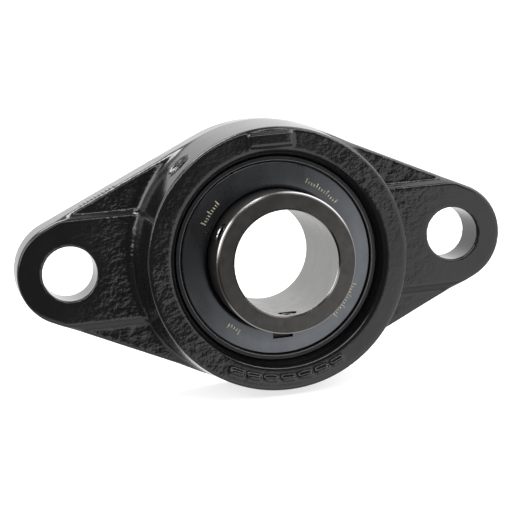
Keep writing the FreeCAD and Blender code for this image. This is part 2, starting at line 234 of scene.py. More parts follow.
def settle(shape: Field, points: Array, quads: Array, step: float) -> Array:
    """Evens points out along a surface and puts them back onto it.

    Args:
        shape: The distance field.
        points: Points near its surface.
        quads: The faces that join them.
        step: The grid spacing that they came from.

    Returns:
        The settled points.
    """
    rounds, pull = 6, 0.5
    for turn in range(rounds):
        if turn < rounds - 1:
            points = points + pull * (neighbour_mean(points, quads) - points)
        slope = gradient(shape, points, 0.1 * step)
        gap = shape(*points.T) / np.maximum((slope ** 2).sum(axis=1), 0.25)
        points = points - np.clip(gap, -step, step)[:, None] * slope
    return points


def lathe(profile: Array, turns: int) -> tuple[Array, Array]:
    """Carries a closed profile round the shaft axis.

    Point (i, j) lies at radius r_i and height y_i, turned by the j-th share of a full circle.

    Args:
        profile: Rows of radius and y, counterclockwise with radius to the right and y up.
        turns: Number of steps round the circle.

    Returns:
        The points as rows and the faces as rows of four point numbers, turned outwards.
    """
    angle = np.linspace(0, 2 * np.pi, turns, endpoint=False)
    radius, y = profile[:, :1], profile[:, 1:]
    grid = np.stack([radius * np.cos(angle), y + 0 * angle, radius * np.sin(angle)], axis=-1)
    i, j = np.meshgrid(np.arange(len(profile)), np.arange(turns), indexing="ij")
    ahead, beside = (i + 1) % len(profile), (j + 1) % turns
    quads = np.stack([i * turns + j, ahead * turns + j, ahead * turns + beside, i * turns + beside], -1)
    return grid.reshape(-1, 3), quads.reshape(-1, 4)


def mesh_piece(name: str, points: Array, faces: Array, smooth_angle: float = 40.0) -> bpy.types.Object:
    """Makes an object from points in millimetres.

    Args:
        name: The piece's name.
        points: Points as rows.
        faces: Faces as rows of point numbers, all of one length.
        smooth_angle: Faces that meet at less than this many degrees are shaded as one surface.

    Returns:
        The new object, at the origin, with its place in its mesh.
    """
    mesh = bpy.data.meshes.new(name)
    sides = faces.shape[1]
    mesh.vertices.add(len(points))
    mesh.vertices.foreach_set("co", (points * MM).astype(np.float32).ravel())
    mesh.loops.add(faces.size)
    mesh.loops.foreach_set("vertex_index", faces.astype(np.int32).ravel())
    mesh.polygons.add(len(faces))
    mesh.polygons.foreach_set("loop_start", np.arange(0, faces.size, sides, dtype=np.int32))
    mesh.update(calc_edges=True)
    mesh.validate()
    mesh.shade_smooth()
    mesh.set_sharp_from_angle(angle=math.radians(smooth_angle))
    piece = bpy.data.objects.new(name, mesh)
    bpy.context.scene.collection.objects.link(piece)
    return piece


def carve(piece: bpy.types.Object, cutter: bpy.types.Object, smooth_angle: float = 40.0) -> None:
    """Cuts one piece's space out of another for good, and removes the cutter."""
    cut = piece.modifiers.new("cut", "BOOLEAN")
    cut.operation = "DIFFERENCE"
    cut.solver = "EXACT"
    cut.object = cutter
    depsgraph = bpy.context.evaluated_depsgraph_get()
    carved = bpy.data.meshes.new_from_object(piece.evaluated_get(depsgraph))
    piece.modifiers.clear()
    piece.data = carved
    carved.shade_smooth()
    carved.set_sharp_from_angle(angle=math.radians(smooth_angle))
    bpy.data.objects.remove(cutter)


def block(low: Sequence[float], high: Sequence[float]) -> tuple[Array, Array]:
    """A box as eight points and six outward faces."""
    corners = np.array(list(np.ndindex(2, 2, 2)))
    points = np.where(corners, np.array(high), np.array(low))
    faces = [(0, 1, 3, 2), (4, 6, 7, 5), (0, 4, 5, 1), (2, 3, 7, 6), (0, 2, 6, 4), (1, 5, 7, 3)]
    return points, np.array(faces)


# ---------------------------------------------------------------- sizes from the frame


@dataclass(frozen=True)
class UnitSizes:
    """Sizes of the unit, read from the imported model, in millimetres."""

    half_length: float
    hub_r: float
    collar_depth: float
    bolt_reach: float
    bolt_hole_r: float
    bore_r: float
    sphere_r: float
    ball_depth: float
    ring_half: float
    land_r: float
    flinger_r: float
    seat_r: float
    port_angle: float
    port_depth: float

    @classmethod
    def from_frame(cls, record: dict) -> "UnitSizes":
        """Reads the sizes from the nodes' boxes and the mounts.

        Args:
            record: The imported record.

        Returns:
            The unit's sizes.
        """
        mounts = {mount["name"]: mount for mount in record["mounts"]}
        housing_low, housing_high = (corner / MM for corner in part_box("housing"))
        ring_low, ring_high = (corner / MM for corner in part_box("outer_ring"))
        plug_low, plug_high = (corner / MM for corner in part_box("grease_port_plug"))
        plug = (plug_low + plug_high) / 2
        return cls(
            half_length=housing_high.x,
            hub_r=housing_high.z,
            collar_depth=-housing_low.y,
            bolt_reach=mounts["bolt_holes"]["dims"]["spacing_x_mm"] / 2,
            bolt_hole_r=mounts["bolt_holes"]["dims"]["hole_r_mm"],
            bore_r=mounts["shaft_bore"]["dims"]["r_mm"],
            sphere_r=ring_high.x,
            ball_depth=-(ring_low.y + ring_high.y) / 2,
            ring_half=(ring_high.y - ring_low.y) / 2,
            land_r=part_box("inner_ring")[1].x / MM,
            flinger_r=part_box("flinger_front")[1].x / MM,
            seat_r=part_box("seal_outer_washer_front")[1].x / MM,
            port_angle=math.degrees(math.atan2(plug.z, plug.x)),
            port_depth=-plug.y,
        )


# ---------------------------------------------------------------- shader building blocks


class NodePen:
    """Places and links nodes in one shader tree."""

    def __init__(self, tree: bpy.types.NodeTree) -> None:
        """Starts on an empty tree."""
        self.tree = tree
        self.tree.nodes.clear()

    def node(self, kind: str, **settings: object) -> bpy.types.Node:
        """Places one node and sets its plain properties."""
        placed = self.tree.nodes.new(kind)
        for name, value in settings.items():
            setattr(placed, name, value)
        return placed

    def feed(self, target: bpy.types.NodeSocket, source: object) -> None:
        """Links a socket to another one, or sets its value."""
        if isinstance(source, bpy.types.NodeSocket):
            self.tree.links.new(source, target)
        else:
            target.default_value = source

    def math(self, operation: str, *inputs: object, clamp: bool = False) -> bpy.types.NodeSocket:
        """One arithmetic node."""
        placed = self.node("ShaderNodeMath", operation=operation, use_clamp=clamp)
        for socket, source in zip(placed.inputs, inputs):
            self.feed(socket, source)
        return placed.outputs[0]

    def vector(self, operation: str, *inputs: object) -> bpy.types.NodeSocket:
        """One vector arithmetic node; a length or dot product comes out as a value."""
        placed = self.node("ShaderNodeVectorMath", operation=operation)
        for socket, source in zip(placed.inputs, inputs):
            self.feed(socket, source)
        is_value = operation in ("LENGTH", "DOT_PRODUCT", "DISTANCE")
        return placed.outputs["Value" if is_value else "Vector"]

    def noise(self, position: object, scale: object, detail: float,
              roughness: float = 0.5) -> bpy.types.NodeSocket:
        """One noise texture's value."""
        placed = self.node("ShaderNodeTexNoise", noise_type="FBM", normalize=True)
        self.feed(placed.inputs["Vector"], position)
        self.feed(placed.inputs["Scale"], scale)
        placed.inputs["Detail"].default_value = detail
        placed.inputs["Roughness"].default_value = roughness
        return placed.outputs["Fac"]

    def spread(self, value: object, low: object, high: object, to_low: object = 0.0,
               to_high: object = 1.0, smooth: bool = False) -> bpy.types.NodeSocket:
        """Maps a value from one range to another, held at the ends."""
        kind = "SMOOTHSTEP" if smooth else "LINEAR"
        placed = self.node("ShaderNodeMapRange", interpolation_type=kind)
        for name, source in (("Value", value), ("From Min", low), ("From Max", high),
                             ("To Min", to_low), ("To Max", to_high)):
            self.feed(placed.inputs[name], source)
        return placed.outputs["Result"]

    def blend(self, share: object, first: object, second: object) -> bpy.types.NodeSocket:
        """Mixes two colours."""
        placed = self.node("ShaderNodeMix", data_type="RGBA")
        colours = [s for s in placed.inputs if s.type == "RGBA"]
        self.feed(placed.inputs["Factor"], share)
        self.feed(colours[0], first)
        self.feed(colours[1], second)
        return [s for s in placed.outputs if s.type == "RGBA"][0]

    def weigh(self, share: object, first: object, second: object) -> bpy.types.NodeSocket:
        """Mixes two values."""
        placed = self.node("ShaderNodeMix", data_type="FLOAT")
        self.feed(placed.inputs["Factor"], share)
        self.feed(placed.inputs["A"], first)
        self.feed(placed.inputs["B"], second)
        return placed.outputs["Result"]

    def bump(self, height: object, depth_mm: float, strength: float = 1.0,
             normal: object = None) -> bpy.types.NodeSocket:
        """A bump of a height from 0 to 1 that stands depth_mm at most."""
        placed = self.node("ShaderNodeBump")
        placed.inputs["Strength"].default_value = strength
        placed.inputs["Distance"].default_value = depth_mm * MM
        self.feed(placed.inputs["Height"], height)
        if normal is not None:
            self.feed(placed.inputs["Normal"], normal)
        return placed.outputs["Normal"]

    def position_mm(self) -> bpy.types.NodeSocket:
        """The piece's own coordinates in millimetres."""
        placed = self.node("ShaderNodeTexCoord")
        return self.vector("MULTIPLY", placed.outputs["Object"], (1 / MM,) * 3)

    def group(self, group: bpy.types.NodeTree, **inputs: object) -> bpy.types.Node:
        """Places a shared node group and feeds its named inputs."""
        placed = self.node("ShaderNodeGroup", node_tree=group)
        for name, source in inputs.items():
            self.feed(placed.inputs[name.replace("_", " ")], source)
        return placed


def new_group(name: str, inputs: dict[str, float], outputs: Iterable[str]) -> bpy.types.NodeTree:
    """Makes an empty shader group with number inputs and number outputs.

    Args:
        name: The group's name.
        inputs: Each input's name and its usual value.
        outputs: The outputs' names.

    Returns:
        The group, with no nodes in it yet.
    """
    group = bpy.data.node_groups.new(name, "ShaderNodeTree")
    for label, value in inputs.items():
        socket = group.interface.new_socket(name=label, in_out="INPUT", socket_type="NodeSocketFloat")
        socket.default_value = value
    for label in outputs:
        group.interface.new_socket(name=label, in_out="OUTPUT", socket_type="NodeSocketFloat")
    return group


class SharedEffects:
    """The node groups that several materials use, each built once."""

    def __init__(self) -> None:
        """Builds the groups."""
        self.cast_grain = self._cast_grain()
        self.tool_lines = self._tool_lines()
        self.handling = self._handling()

    @staticmethod
    def _cast_grain() -> bpy.types.NodeTree:
        """Pits and lumps of a sand casting under paint: three sizes of noise added up."""
        group = new_group("cast_grain", {"Coarse mm": 1.6, "Fine mm": 0.5}, ["Height", "Mottle"])
        pen = NodePen(group)
        inputs = pen.node("NodeGroupInput").outputs
        place = pen.position_mm()
        flow = pen.vector("MULTIPLY", place, (0.78, 1.0, 1.0))
        coarse = pen.noise(flow, pen.math("DIVIDE", 1.0, inputs["Coarse mm"]), 1.0)
        fine = pen.noise(flow, pen.math("DIVIDE", 1.0, inputs["Fine mm"]), 2.0)
        broad = pen.noise(place, 0.09, 3.0)
        lumps = pen.spread(coarse, 0.28, 0.72, 0.0, 1.0, smooth=True)
        height = pen.math("ADD", pen.math("MULTIPLY", lumps, 0.8), pen.math("MULTIPLY", fine, 0.2))
        result = pen.node("NodeGroupOutput").inputs
        pen.feed(result["Height"], height)
        pen.feed(result["Mottle"], broad)
        return group

    @staticmethod
    def _tool_lines() -> bpy.types.NodeTree:
        """Fine rings left by turning or grinding, by radius on faces and by y on cylinders."""
        group = new_group("tool_lines", {"Lines per mm": 6.0, "Uneven": 0.5}, ["Height", "Streak", "Radius"])
        pen = NodePen(group)
        inputs = pen.node("NodeGroupInput").outputs
        place = pen.position_mm()
        flat = pen.vector("MULTIPLY", place, (1.0, 0.0, 1.0))
        radius = pen.vector("LENGTH", flat)
        parts = pen.node("ShaderNodeSeparateXYZ")
        pen.feed(parts.inputs[0], place)
        ring = pen.node("ShaderNodeCombineXYZ")
        pen.feed(ring.inputs["X"], radius)
        pen.feed(ring.inputs["Y"], parts.outputs["Y"])
        lines = pen.noise(ring.outputs[0], inputs["Lines per mm"], 2.0, 0.6)
        drift = pen.noise(place, 0.35, 2.0)
        uneven = pen.math("MULTIPLY", pen.math("SUBTRACT", drift, 0.5), inputs["Uneven"])
        result = pen.node("NodeGroupOutput").inputs
        pen.feed(result["Height"], lines)
        pen.feed(result["Streak"], pen.math("ADD", lines, uneven, clamp=True))
        pen.feed(result["Radius"], radius)
        return group

    @staticmethod
    def _handling() -> bpy.types.NodeTree:
        """Faint smears from handling: noise stretched along the piece."""
        group = new_group("handling", {"Smear mm": 9.0}, ["Smear"])
        pen = NodePen(group)
        inputs = pen.node("NodeGroupInput").outputs
        place = pen.position_mm()
        long_way = pen.vector("MULTIPLY", place, (1.0, 0.6, 0.35))
        smear = pen.noise(long_way, pen.math("DIVIDE", 1.0, inputs["Smear mm"]), 4.0, 0.6)
        result = pen.node("NodeGroupOutput").inputs
        pen.feed(result["Smear"], smear)
        return group


Colour = tuple[float, float, float]


def rgba(colour: Colour) -> tuple[float, float, float, float]:
    """A colour with full opacity."""
    return (*colour, 1.0)


def new_material(name: str) -> tuple[bpy.types.Material, NodePen, bpy.types.Node]:
    """A material with one Principled shader, ready to be fed."""
    material = bpy.data.materials.new(name)
    material.use_nodes = True
    pen = NodePen(material.node_tree)
    shader = pen.node("ShaderNodeBsdfPrincipled")
    output = pen.node("ShaderNodeOutputMaterial")
    pen.feed(output.inputs["Surface"], shader.outputs["BSDF"])
    return material, pen, shader


@dataclass(frozen=True)
class GlossPaint:
    """Thick gloss paint over rough cast iron."""

    colour: Colour = (0.0055, 0.0055, 0.006)
    thin_colour: Colour = (0.016, 0.016, 0.017)
    roughness: float = 0.11
    rough_spots: float = 0.1
    grain_depth: float = 0.06
    peel_depth: float = 0.012

    def material(self, effects: SharedEffects) -> bpy.types.Material:
        """Builds the paint; the piece's "rough" attribute says where the casting shows through."""
        made, pen, shader = new_material("painted_iron")
        grain = pen.group(effects.cast_grain, Coarse_mm=0.82, Fine_mm=0.38).outputs
        smudge = pen.group(effects.handling, Smear_mm=11.0).outputs
        rough = pen.node("ShaderNodeAttribute", attribute_name="rough").outputs["Fac"]
        edge = pen.node("ShaderNodeAttribute", attribute_name="edge").outputs["Fac"]
        thin = pen.math("MULTIPLY", edge, pen.spread(grain["Mottle"], 0.35, 0.7, 0.2, 1.0))
        colour = pen.blend(thin, rgba(self.colour), rgba(self.thin_colour))
        pen.feed(shader.inputs["Base Color"], colour)
        spread = pen.spread(smudge["Smear"], 0.3, 0.75, 0.0, self.rough_spots)
        pen.feed(shader.inputs["Roughness"], pen.math("ADD", spread, self.roughness))
        shader.inputs["IOR"].default_value = 1.5
        peel = pen.noise(pen.position_mm(), 1.1, 1.0)
        skin = pen.bump(peel, self.peel_depth)
        deep = pen.math("MULTIPLY", grain["Height"], rough)
        pen.feed(shader.inputs["Normal"], pen.bump(deep, self.grain_depth, 1.0, skin))
        return made


@dataclass(frozen=True)
class MachinedSteel:
    """Turned, ground or pressed steel, bright or blackened."""

    name: str
    colour: Colour
    streak_colour: Colour
    roughness: float = 0.3
    roughness_spread: float = 0.1
    lines_per_mm: float = 6.0
    line_depth: float = 0.004

    def material(self, effects: SharedEffects) -> bpy.types.Material:
        """Builds the steel from tool lines and handling marks."""
        made, pen, shader = new_material(self.name)
        lines = pen.group(effects.tool_lines, Lines_per_mm=self.lines_per_mm, Uneven=0.8).outputs
        smudge = pen.group(effects.handling, Smear_mm=6.0).outputs
        pen.feed(shader.inputs["Base Color"],
                 pen.blend(lines["Streak"], rgba(self.colour), rgba(self.streak_colour)))
        dull = pen.spread(smudge["Smear"], 0.3, 0.7, 0.0, self.roughness_spread)
        pen.feed(shader.inputs["Roughness"], pen.math("ADD", dull, self.roughness))
        shader.inputs["Metallic"].default_value = 1.0
        pen.feed(shader.inputs["Normal"], pen.bump(lines["Height"], self.line_depth))
        return made


@dataclass(frozen=True)
class InnerRingSteel:
    """Blackened outside, brown-black turned ends with a lighter band on the chamfer as a painted highlight,
    and a bright ground bore.
    """

    bore_r: float
    land_r: float
    outside: Colour = (0.09, 0.088, 0.088)
    end_face: Colour = (0.098, 0.093, 0.09)
    # edge: the chamfer band's colour, lighter than the ends: a painted highlight
    edge: Colour = (0.34, 0.33, 0.32)
    bright: Colour = (0.47, 0.465, 0.46)
    face_roughness: float = 0.19
    edge_roughness: float = 0.16
    rim_roughness: float = 0.42
    bore_roughness: float = 0.2

    def material(self, effects: SharedEffects) -> bpy.types.Material:
        """Builds the steel; the zones follow the distance from the shaft axis."""
        made, pen, shader = new_material("inner_ring_steel")
        lines = pen.group(effects.tool_lines, Lines_per_mm=5.0, Uneven=0.6).outputs
        smudge = pen.group(effects.handling, Smear_mm=5.0).outputs
        radius = lines["Radius"]
        bore = pen.spread(radius, self.bore_r + 0.08, self.bore_r + 0.04)
        rim = pen.spread(radius, self.land_r - 0.06, self.land_r - 0.02)
        # Just inside the outer edge the ends are painted lighter: a painted highlight on the chamfer.
        edge = pen.spread(radius, self.land_r - 0.42, self.land_r - 0.34)
        face = pen.blend(pen.spread(lines["Streak"], 0.3, 0.7), rgba(self.end_face),
                         rgba(tuple(0.6 * c for c in self.end_face)))
        chamfer_highlight = pen.blend(edge, face, rgba(self.edge))
        dark = pen.blend(rim, chamfer_highlight, rgba(self.outside))
        worn = pen.blend(pen.spread(smudge["Smear"], 0.35, 0.75, 0.0, 0.35), rgba(self.bright),
                         rgba(tuple(0.72 * c for c in self.bright)))
        pen.feed(shader.inputs["Base Color"], pen.blend(bore, dark, worn))
        shader.inputs["Metallic"].default_value = 1.0
        shader.inputs["Specular Tint"].default_value = (0.55, 0.55, 0.55, 1)
        dull = pen.spread(smudge["Smear"], 0.3, 0.7, 0.0, 0.1)
        ends = pen.weigh(edge, self.face_roughness, self.edge_roughness)
        base = pen.weigh(bore, pen.weigh(rim, ends, self.rim_roughness), self.bore_roughness)
        pen.feed(shader.inputs["Roughness"], pen.math("ADD", dull, base))
        pen.feed(shader.inputs["Normal"], pen.bump(lines["Height"], 0.004))
        return made


@dataclass(frozen=True)
class OuterRingSteel:
    """Blackened steel with a pale line painted round the seal seat's edge."""

    seat_r: float
    colour: Colour = (0.03, 0.03, 0.032)
    streak_colour: Colour = (0.05, 0.05, 0.053)
    edge: Colour = (0.3, 0.3, 0.3)

    def material(self, effects: SharedEffects) -> bpy.types.Material:
        """Builds the steel; the bright line follows the distance from the shaft axis."""
        made, pen, shader = new_material("outer_ring_steel")
        lines = pen.group(effects.tool_lines, Lines_per_mm=7.0, Uneven=0.8).outputs
        smudge = pen.group(effects.handling, Smear_mm=6.0).outputs
        dark = pen.blend(lines["Streak"], rgba(self.colour), rgba(self.streak_colour))
        # A pale line is painted in a narrow ring just outside the seal seat's radius.
        off = pen.math("ABSOLUTE", pen.math("SUBTRACT", lines["Radius"], self.seat_r + 0.18))
        pen.feed(shader.inputs["Base Color"], pen.blend(pen.spread(off, 0.2, 0.14), dark, rgba(self.edge)))
        shader.inputs["Metallic"].default_value = 1.0
        pen.feed(shader.inputs["Roughness"], pen.spread(smudge["Smear"], 0.3, 0.7, 0.26, 0.36))
        pen.feed(shader.inputs["Normal"], pen.bump(lines["Height"], 0.004))
        return made


@dataclass(frozen=True)
class SealRubber:
    """Matt black nitrile rubber with a faint bloom."""

    colour: Colour = (0.018, 0.018, 0.018)

    def material(self, effects: SharedEffects) -> bpy.types.Material:
        """Builds the rubber."""
        made, pen, shader = new_material("seal_rubber")
        grain = pen.group(effects.cast_grain, Coarse_mm=0.5, Fine_mm=0.15).outputs
        pale = rgba(tuple(1.8 * c for c in self.colour))
        pen.feed(shader.inputs["Base Color"], pen.blend(grain["Mottle"], rgba(self.colour), pale))
        pen.feed(shader.inputs["Roughness"], pen.spread(grain["Mottle"], 0.2, 0.8, 0.55, 0.75))
        pen.feed(shader.inputs["Normal"], pen.bump(grain["Height"], 0.01))
        return made


@dataclass(frozen=True)
class EtchedMark:
    """Pale tan marks left by a laser on blackened steel."""

    colour: Colour = (0.50, 0.46, 0.33)
    burnt: Colour = (0.26, 0.24, 0.18)

    def material(self, effects: SharedEffects) -> bpy.types.Material:
        """Builds the mark's finish."""
        made, pen, shader = new_material("etched_mark")
        grain = pen.group(effects.cast_grain, Coarse_mm=0.35, Fine_mm=0.1).outputs
        patch = pen.spread(grain["Height"], 0.3, 0.7)
        pen.feed(shader.inputs["Base Color"], pen.blend(patch, rgba(self.colour), rgba(self.burnt)))
        shader.inputs["Roughness"].default_value = 0.6
        pen.feed(shader.inputs["Normal"], pen.bump(grain["Height"], 0.004))
        return made


def dress(piece: bpy.types.Object, material: bpy.types.Material) -> None:
    """Gives a piece one material on all of its faces."""
    if piece.material_slots:
        for slot in piece.material_slots:
            slot.material = material
    else:
        piece.data.materials.append(material)


# ---------------------------------------------------------------- the housing


class MarkShape(Enum):
    """Plain foundry studs: half width, half height and height."""

    PAD = (6.5, 2.0, 0.75)
    DASH = (2.0, 0.75, 1.0)


@dataclass(frozen=True)
class CastMark:
    """One plain raised stud on the collar's face."""

    shape: MarkShape
    angle: float
    radius: float

    def local(self, x: Array, z: Array) -> tuple[Array, Array]:
        """Places points in the mark's own frame, which stands upright on either half of the face.

        Args:
            x: Points' x.
            z: Points' z.

        Returns:
            How far the points lie to the right of the mark's middle, and above it.
        """
        turn = math.radians(self.angle)
        up = x * math.cos(turn) + z * math.sin(turn) - self.radius
        along = x * math.sin(turn) - z * math.cos(turn)
        return (along, up) if math.sin(turn) > 0 else (-along, -up)

    def distance(self, x: Array, y: Array, z: Array, face_depth: float) -> Array:
        """The distance to the stud, standing on the collar's face.

        Args:
            x: Points' x.
            y: Points' y.
            z: Points' z.
            face_depth: Depth of the collar's face.

        Returns:
            The distance, negative inside.
        """
        half_width, half_height, height = self.shape.value
        along, up = self.local(x, z)
        sides = round_and(np.abs(along) - half_width, np.abs(up) - half_height, 0.4)
        above = -y - face_depth
        return np.maximum(round_and(sides, above - height, 0.3), -1.2 - above)


@dataclass
class Housing:
    """The cast iron housing: flange with two lobes, collar, bore, bolt holes and lubrication port."""

    sizes: UnitSizes
    grid_step: float = 0.575
    web_depth: float = 11.8
    pad_depth: float = 13.5
    pad_half_width: float = 15.2
    upper_slope: float = 1.9
    lower_slope: float = 3.0
    flange_edge_r: float = 1.1
    mount_edge_r: float = 0.4
    side_draft: float = 0.02
    collar_r: float = 38.0
    collar_draft: float = 1.9
    collar_edge_r: float = 0.8
    root_r: float = 2.4
    merged_r: float = 0.25
    seat_clearance: float = 0.05
    mouth_r: float = 29.9
    mouth_flare: float = 1.2
    mouth_edge_r: float = 1.0
    rear_r: float = 29.9
    hole_edge_r: float = 0.25
    port_r: float = 2.5
    port_spot_r: float = 3.8
    port_spot_depth: float = 0.6
    port_smooth_r: float = 4.5
    port_rough_r: float = 6.5
    lump_height: float = 0.07
    small_lump_height: float = 0.02
    wave_height: float = 0.07
    most_raised: float = 0.12
    marks: tuple[CastMark, ...] = (
        CastMark(MarkShape.PAD, 90.1, 34.4),
        *(CastMark(MarkShape.DASH, angle, 34.5)
          for angle in (244.0, 252.5, 261.0, 269.5, 278.0, 286.5, 295.0)),
    )

    def outline(self, x: Array, z: Array) -> Array:
        """The distance to the flange's outline, seen along the shaft.

        One quarter is the tangent hull of the hub circle and a lobe's end circle, and the other
        three mirror it. Beside the hub, the side and the end, a different distance counts.

        Args:
            x: Points' x.
            z: Points' z.

        Returns:
            The distance, negative inside.
        """
        reach, hub_r = self.sizes.bolt_reach, self.sizes.hub_r
        end_r = self.sizes.half_length - reach
        lean = (hub_r - end_r) / reach
        rise = math.sqrt(1 - lean * lean)
        u, v = np.abs(x), np.abs(z)
        zone = rise * u - lean * v
        side = rise * v + lean * u - hub_r
        end = np.hypot(u - reach, v) - end_r
        return np.where(zone < 0, np.hypot(u, v) - hub_r, np.where(zone > rise * reach, end, side))

    def bore(self, radius: Array, z: Array, depth: Array) -> Array:
        """The distance to what the bore removes: seat, mouth, rear opening and loading slots.

        Args:
            radius: Distance from the shaft axis.
            z: Points' z.
            depth: Distance from the mounting face.

        Returns:
            The distance, negative in the open space.
        """
        s = self.sizes
        seat = np.hypot(radius, depth - s.ball_depth) - s.sphere_r - self.seat_clearance
        front = s.ball_depth + s.ring_half
        share = (depth - front) / (s.collar_depth - front)
        mouth = np.maximum(radius - self.mouth_r - self.mouth_flare * share, front - 1.0 - depth)
        rear = np.maximum(radius - self.rear_r, depth - s.ball_depth)
        slot = np.maximum(np.abs(z) - s.ring_half - 0.3, radius - s.sphere_r - 2 * self.seat_clearance)
        slot = np.maximum(slot, depth - s.ball_depth)
        return np.minimum(np.minimum(seat, mouth), np.minimum(rear, slot))

    def port(self, x: Array, y: Array, z: Array) -> Array:
        """The distance to what the lubrication port removes: a flat spot and a round hole.

        Args:
            x: Points' x.
            y: Points' y.
            z: Points' z.

        Returns:
            The distance, negative in the open space.
        """
        s = self.sizes
        turn = math.radians(s.port_angle)
        out = x * math.cos(turn) + z * math.sin(turn)
        off = np.hypot(x * math.sin(turn) - z * math.cos(turn), y + s.port_depth)
        spot = np.maximum(off - self.port_spot_r, self.wall_r(s.port_depth) - self.port_spot_depth - out)
        hole = np.maximum(off - self.port_r, s.sphere_r - 2 - out)
        return np.minimum(spot, hole)

    def wall_r(self, depth: Array) -> Array:
        """The collar wall's radius at a depth: largest at the web, smallest at the face."""
        share = (self.sizes.collar_depth - depth) / (self.sizes.collar_depth - self.web_depth)
        return self.collar_r + self.collar_draft * share

    def field(self, x: Array, y: Array, z: Array) -> Array:
        """The distance to the casting: flange and collar joined, then bore and holes removed.

        Args:
            x: Points' x.
            y: Points' y.
            z: Points' z.

        Returns:
            The distance, negative inside the iron.
        """
        s = self.sizes
        depth, radius = -y, np.hypot(x, z)
        outline = self.outline(x, z)
        run = np.where(z > 0, self.upper_slope, self.lower_slope)
        start = self.pad_half_width + 0.5 * (self.upper_slope - run)
        slope = smooth_step(0, 1, (np.abs(z) - start) / run)
        top = self.pad_depth - (self.pad_depth - self.web_depth) * slope
        apart = smooth_step(0.35, 0.75, np.abs(x) / np.maximum(radius, 1))
        edge_r = self.merged_r + (self.flange_edge_r - self.merged_r) * apart
        root_r = self.merged_r + (self.root_r - self.merged_r) * apart
        flange = round_and(outline + self.side_draft * depth, depth - top, edge_r)
        flange = round_and(flange, -depth, self.mount_edge_r)
        wall = radius - self.wall_r(depth)
        collar = np.maximum(round_and(wall, depth - s.collar_depth, self.collar_edge_r), 3.0 - depth)
        body = np.maximum(fillet_or(flange, collar, root_r), outline)
        near_face = depth > s.collar_depth - 2
        marked = body[near_face]
        at = x[near_face], y[near_face], z[near_face]
        for mark in self.marks:
            marked = fillet_or(marked, mark.distance(*at, s.collar_depth), 0.35)
        body = body.copy()
        body[near_face] = marked
        body = round_and(body, -self.bore(radius, z, depth), self.mouth_edge_r)
        body = round_and(body, self.bolt_hole_gap(x, z), self.hole_edge_r)
        return round_and(body, -self.port(x, y, z), 0.4)

    def bolt_hole_gap(self, x: Array, z: Array) -> Array:
        """How far points lie outside the bolt holes."""
        return self.sizes.bolt_hole_r - np.hypot(np.abs(x) - self.sizes.bolt_reach, z)

    def roughness(self, points: Array, normal: Array) -> Array:
        """Where the sand casting's texture shows: none on machined faces, most beside the collar.

        Args:
            points: Surface points.
            normal: Surface normals.

        Returns:
            A share from 0 to 1 for each point.
        """
        s = self.sizes
        x, depth, z = points[:, 0], -points[:, 1], points[:, 2]
        radius = np.hypot(x, z)
        angle = np.degrees(np.arctan2(z, x)) % 360
        lobe = np.exp(-((np.abs(x) - 42) / 10.5) ** 2)
        collar = 0.85 * np.exp(-((angle - 205) / 38) ** 2) + 0.6 * np.exp(-((angle - 42) / 28) ** 2)
        collar = 0.3 + 0.7 * np.minimum(collar, 1)
        on_collar = smooth_step(self.pad_depth + 2, self.pad_depth + 6, depth)
        share = on_collar * collar + (1 - on_collar) * (0.12 + 0.88 * lobe)
        web = smooth_step(self.web_depth + 0.45, self.web_depth + 0.15, depth) * (normal[:, 1] < -0.6)
        share = np.maximum(share, 0.75 * web)
        ramp = smooth_step(self.web_depth + 0.15, self.web_depth + 0.45, depth)
        share *= 1 - 0.85 * ramp * smooth_step(self.pad_depth - 0.05, self.pad_depth - 0.3, depth)
        share *= np.where(x > 0, 0.3 + 0.7 * smooth_step(0.0, 0.45, z / np.maximum(radius, 1)), 1.0)
        share *= 1 - 0.8 * smooth_step(0.3, 0.8, 1 - np.abs(normal[:, 1]))
        share *= smooth_step(0.3, 1.5, depth)
        share *= smooth_step(self.mouth_r + 0.3, self.mouth_r + 2.0, radius)
        port = math.radians(s.port_angle)
        beside = np.hypot(x * math.sin(port) - z * math.cos(port), depth - s.port_depth)
        near_port = smooth_step(self.port_rough_r, self.port_smooth_r, beside)
        share *= 1 - near_port * (radius > s.sphere_r) * (z > 0)
        for mark in self.marks:
            along, up = mark.local(x, z)
            near = smooth_step(4.2, 3.0, np.hypot(along, up)) * on_collar
            share *= 1 - 0.8 * near
        past_hole = -self.bolt_hole_gap(x, z)
        return share * (0.08 + 0.92 * smooth_step(0.3, 2.5, past_hole))

    def build(self) -> bpy.types.Object:
        """Builds the casting's skin, roughened as sand leaves it.

        The skin moves along its normal by random lumps of three sizes, as far as the roughness
        at each place allows.

        Returns:
            The finished object.
        """
        s = self.sizes
        low = np.array([-s.half_length - 1, -s.collar_depth - 2, -s.hub_r - 1])
        high = np.array([s.half_length + 1, 1.0, s.hub_r + 1])
        points, quads = field_surface(self.field, low, high, self.grid_step)
        slope = gradient(self.field, points, 0.1)
        normal = slope / np.linalg.norm(slope, axis=1, keepdims=True)
        rough = self.roughness(points, normal)
        bend = np.linalg.norm(neighbour_mean(normal, quads) - normal, axis=1)
        lumps = self.lump_height * Lumps(3)(points, (1.5, 1.2, 1.15))
        lumps += self.small_lump_height * Lumps(5)(points, (2.6, 2.0, 2.0))
        waves = self.wave_height * Lumps(8)(points, (8.0, 8.0, 8.0))
        painted = smooth_step(0.2, 1.0, -points[:, 1])
        radius = np.hypot(points[:, 0], points[:, 2])
        painted *= smooth_step(self.mouth_r + 0.3, self.mouth_r + 1.5, radius)
        move = rough * lumps + painted * (0.25 + 0.75 * rough) * waves
        points = points + np.minimum(move, self.most_raised)[:, None] * normal
        piece = mesh_piece("housing_casting", points, quads, 180.0)
        for name, values in (("rough", rough), ("edge", smooth_step(0.05, 0.35, bend))):
            layer = piece.data.attributes.new(name, "FLOAT", "POINT")
            layer.data.foreach_set("value", values.astype(np.float32))
        return piece

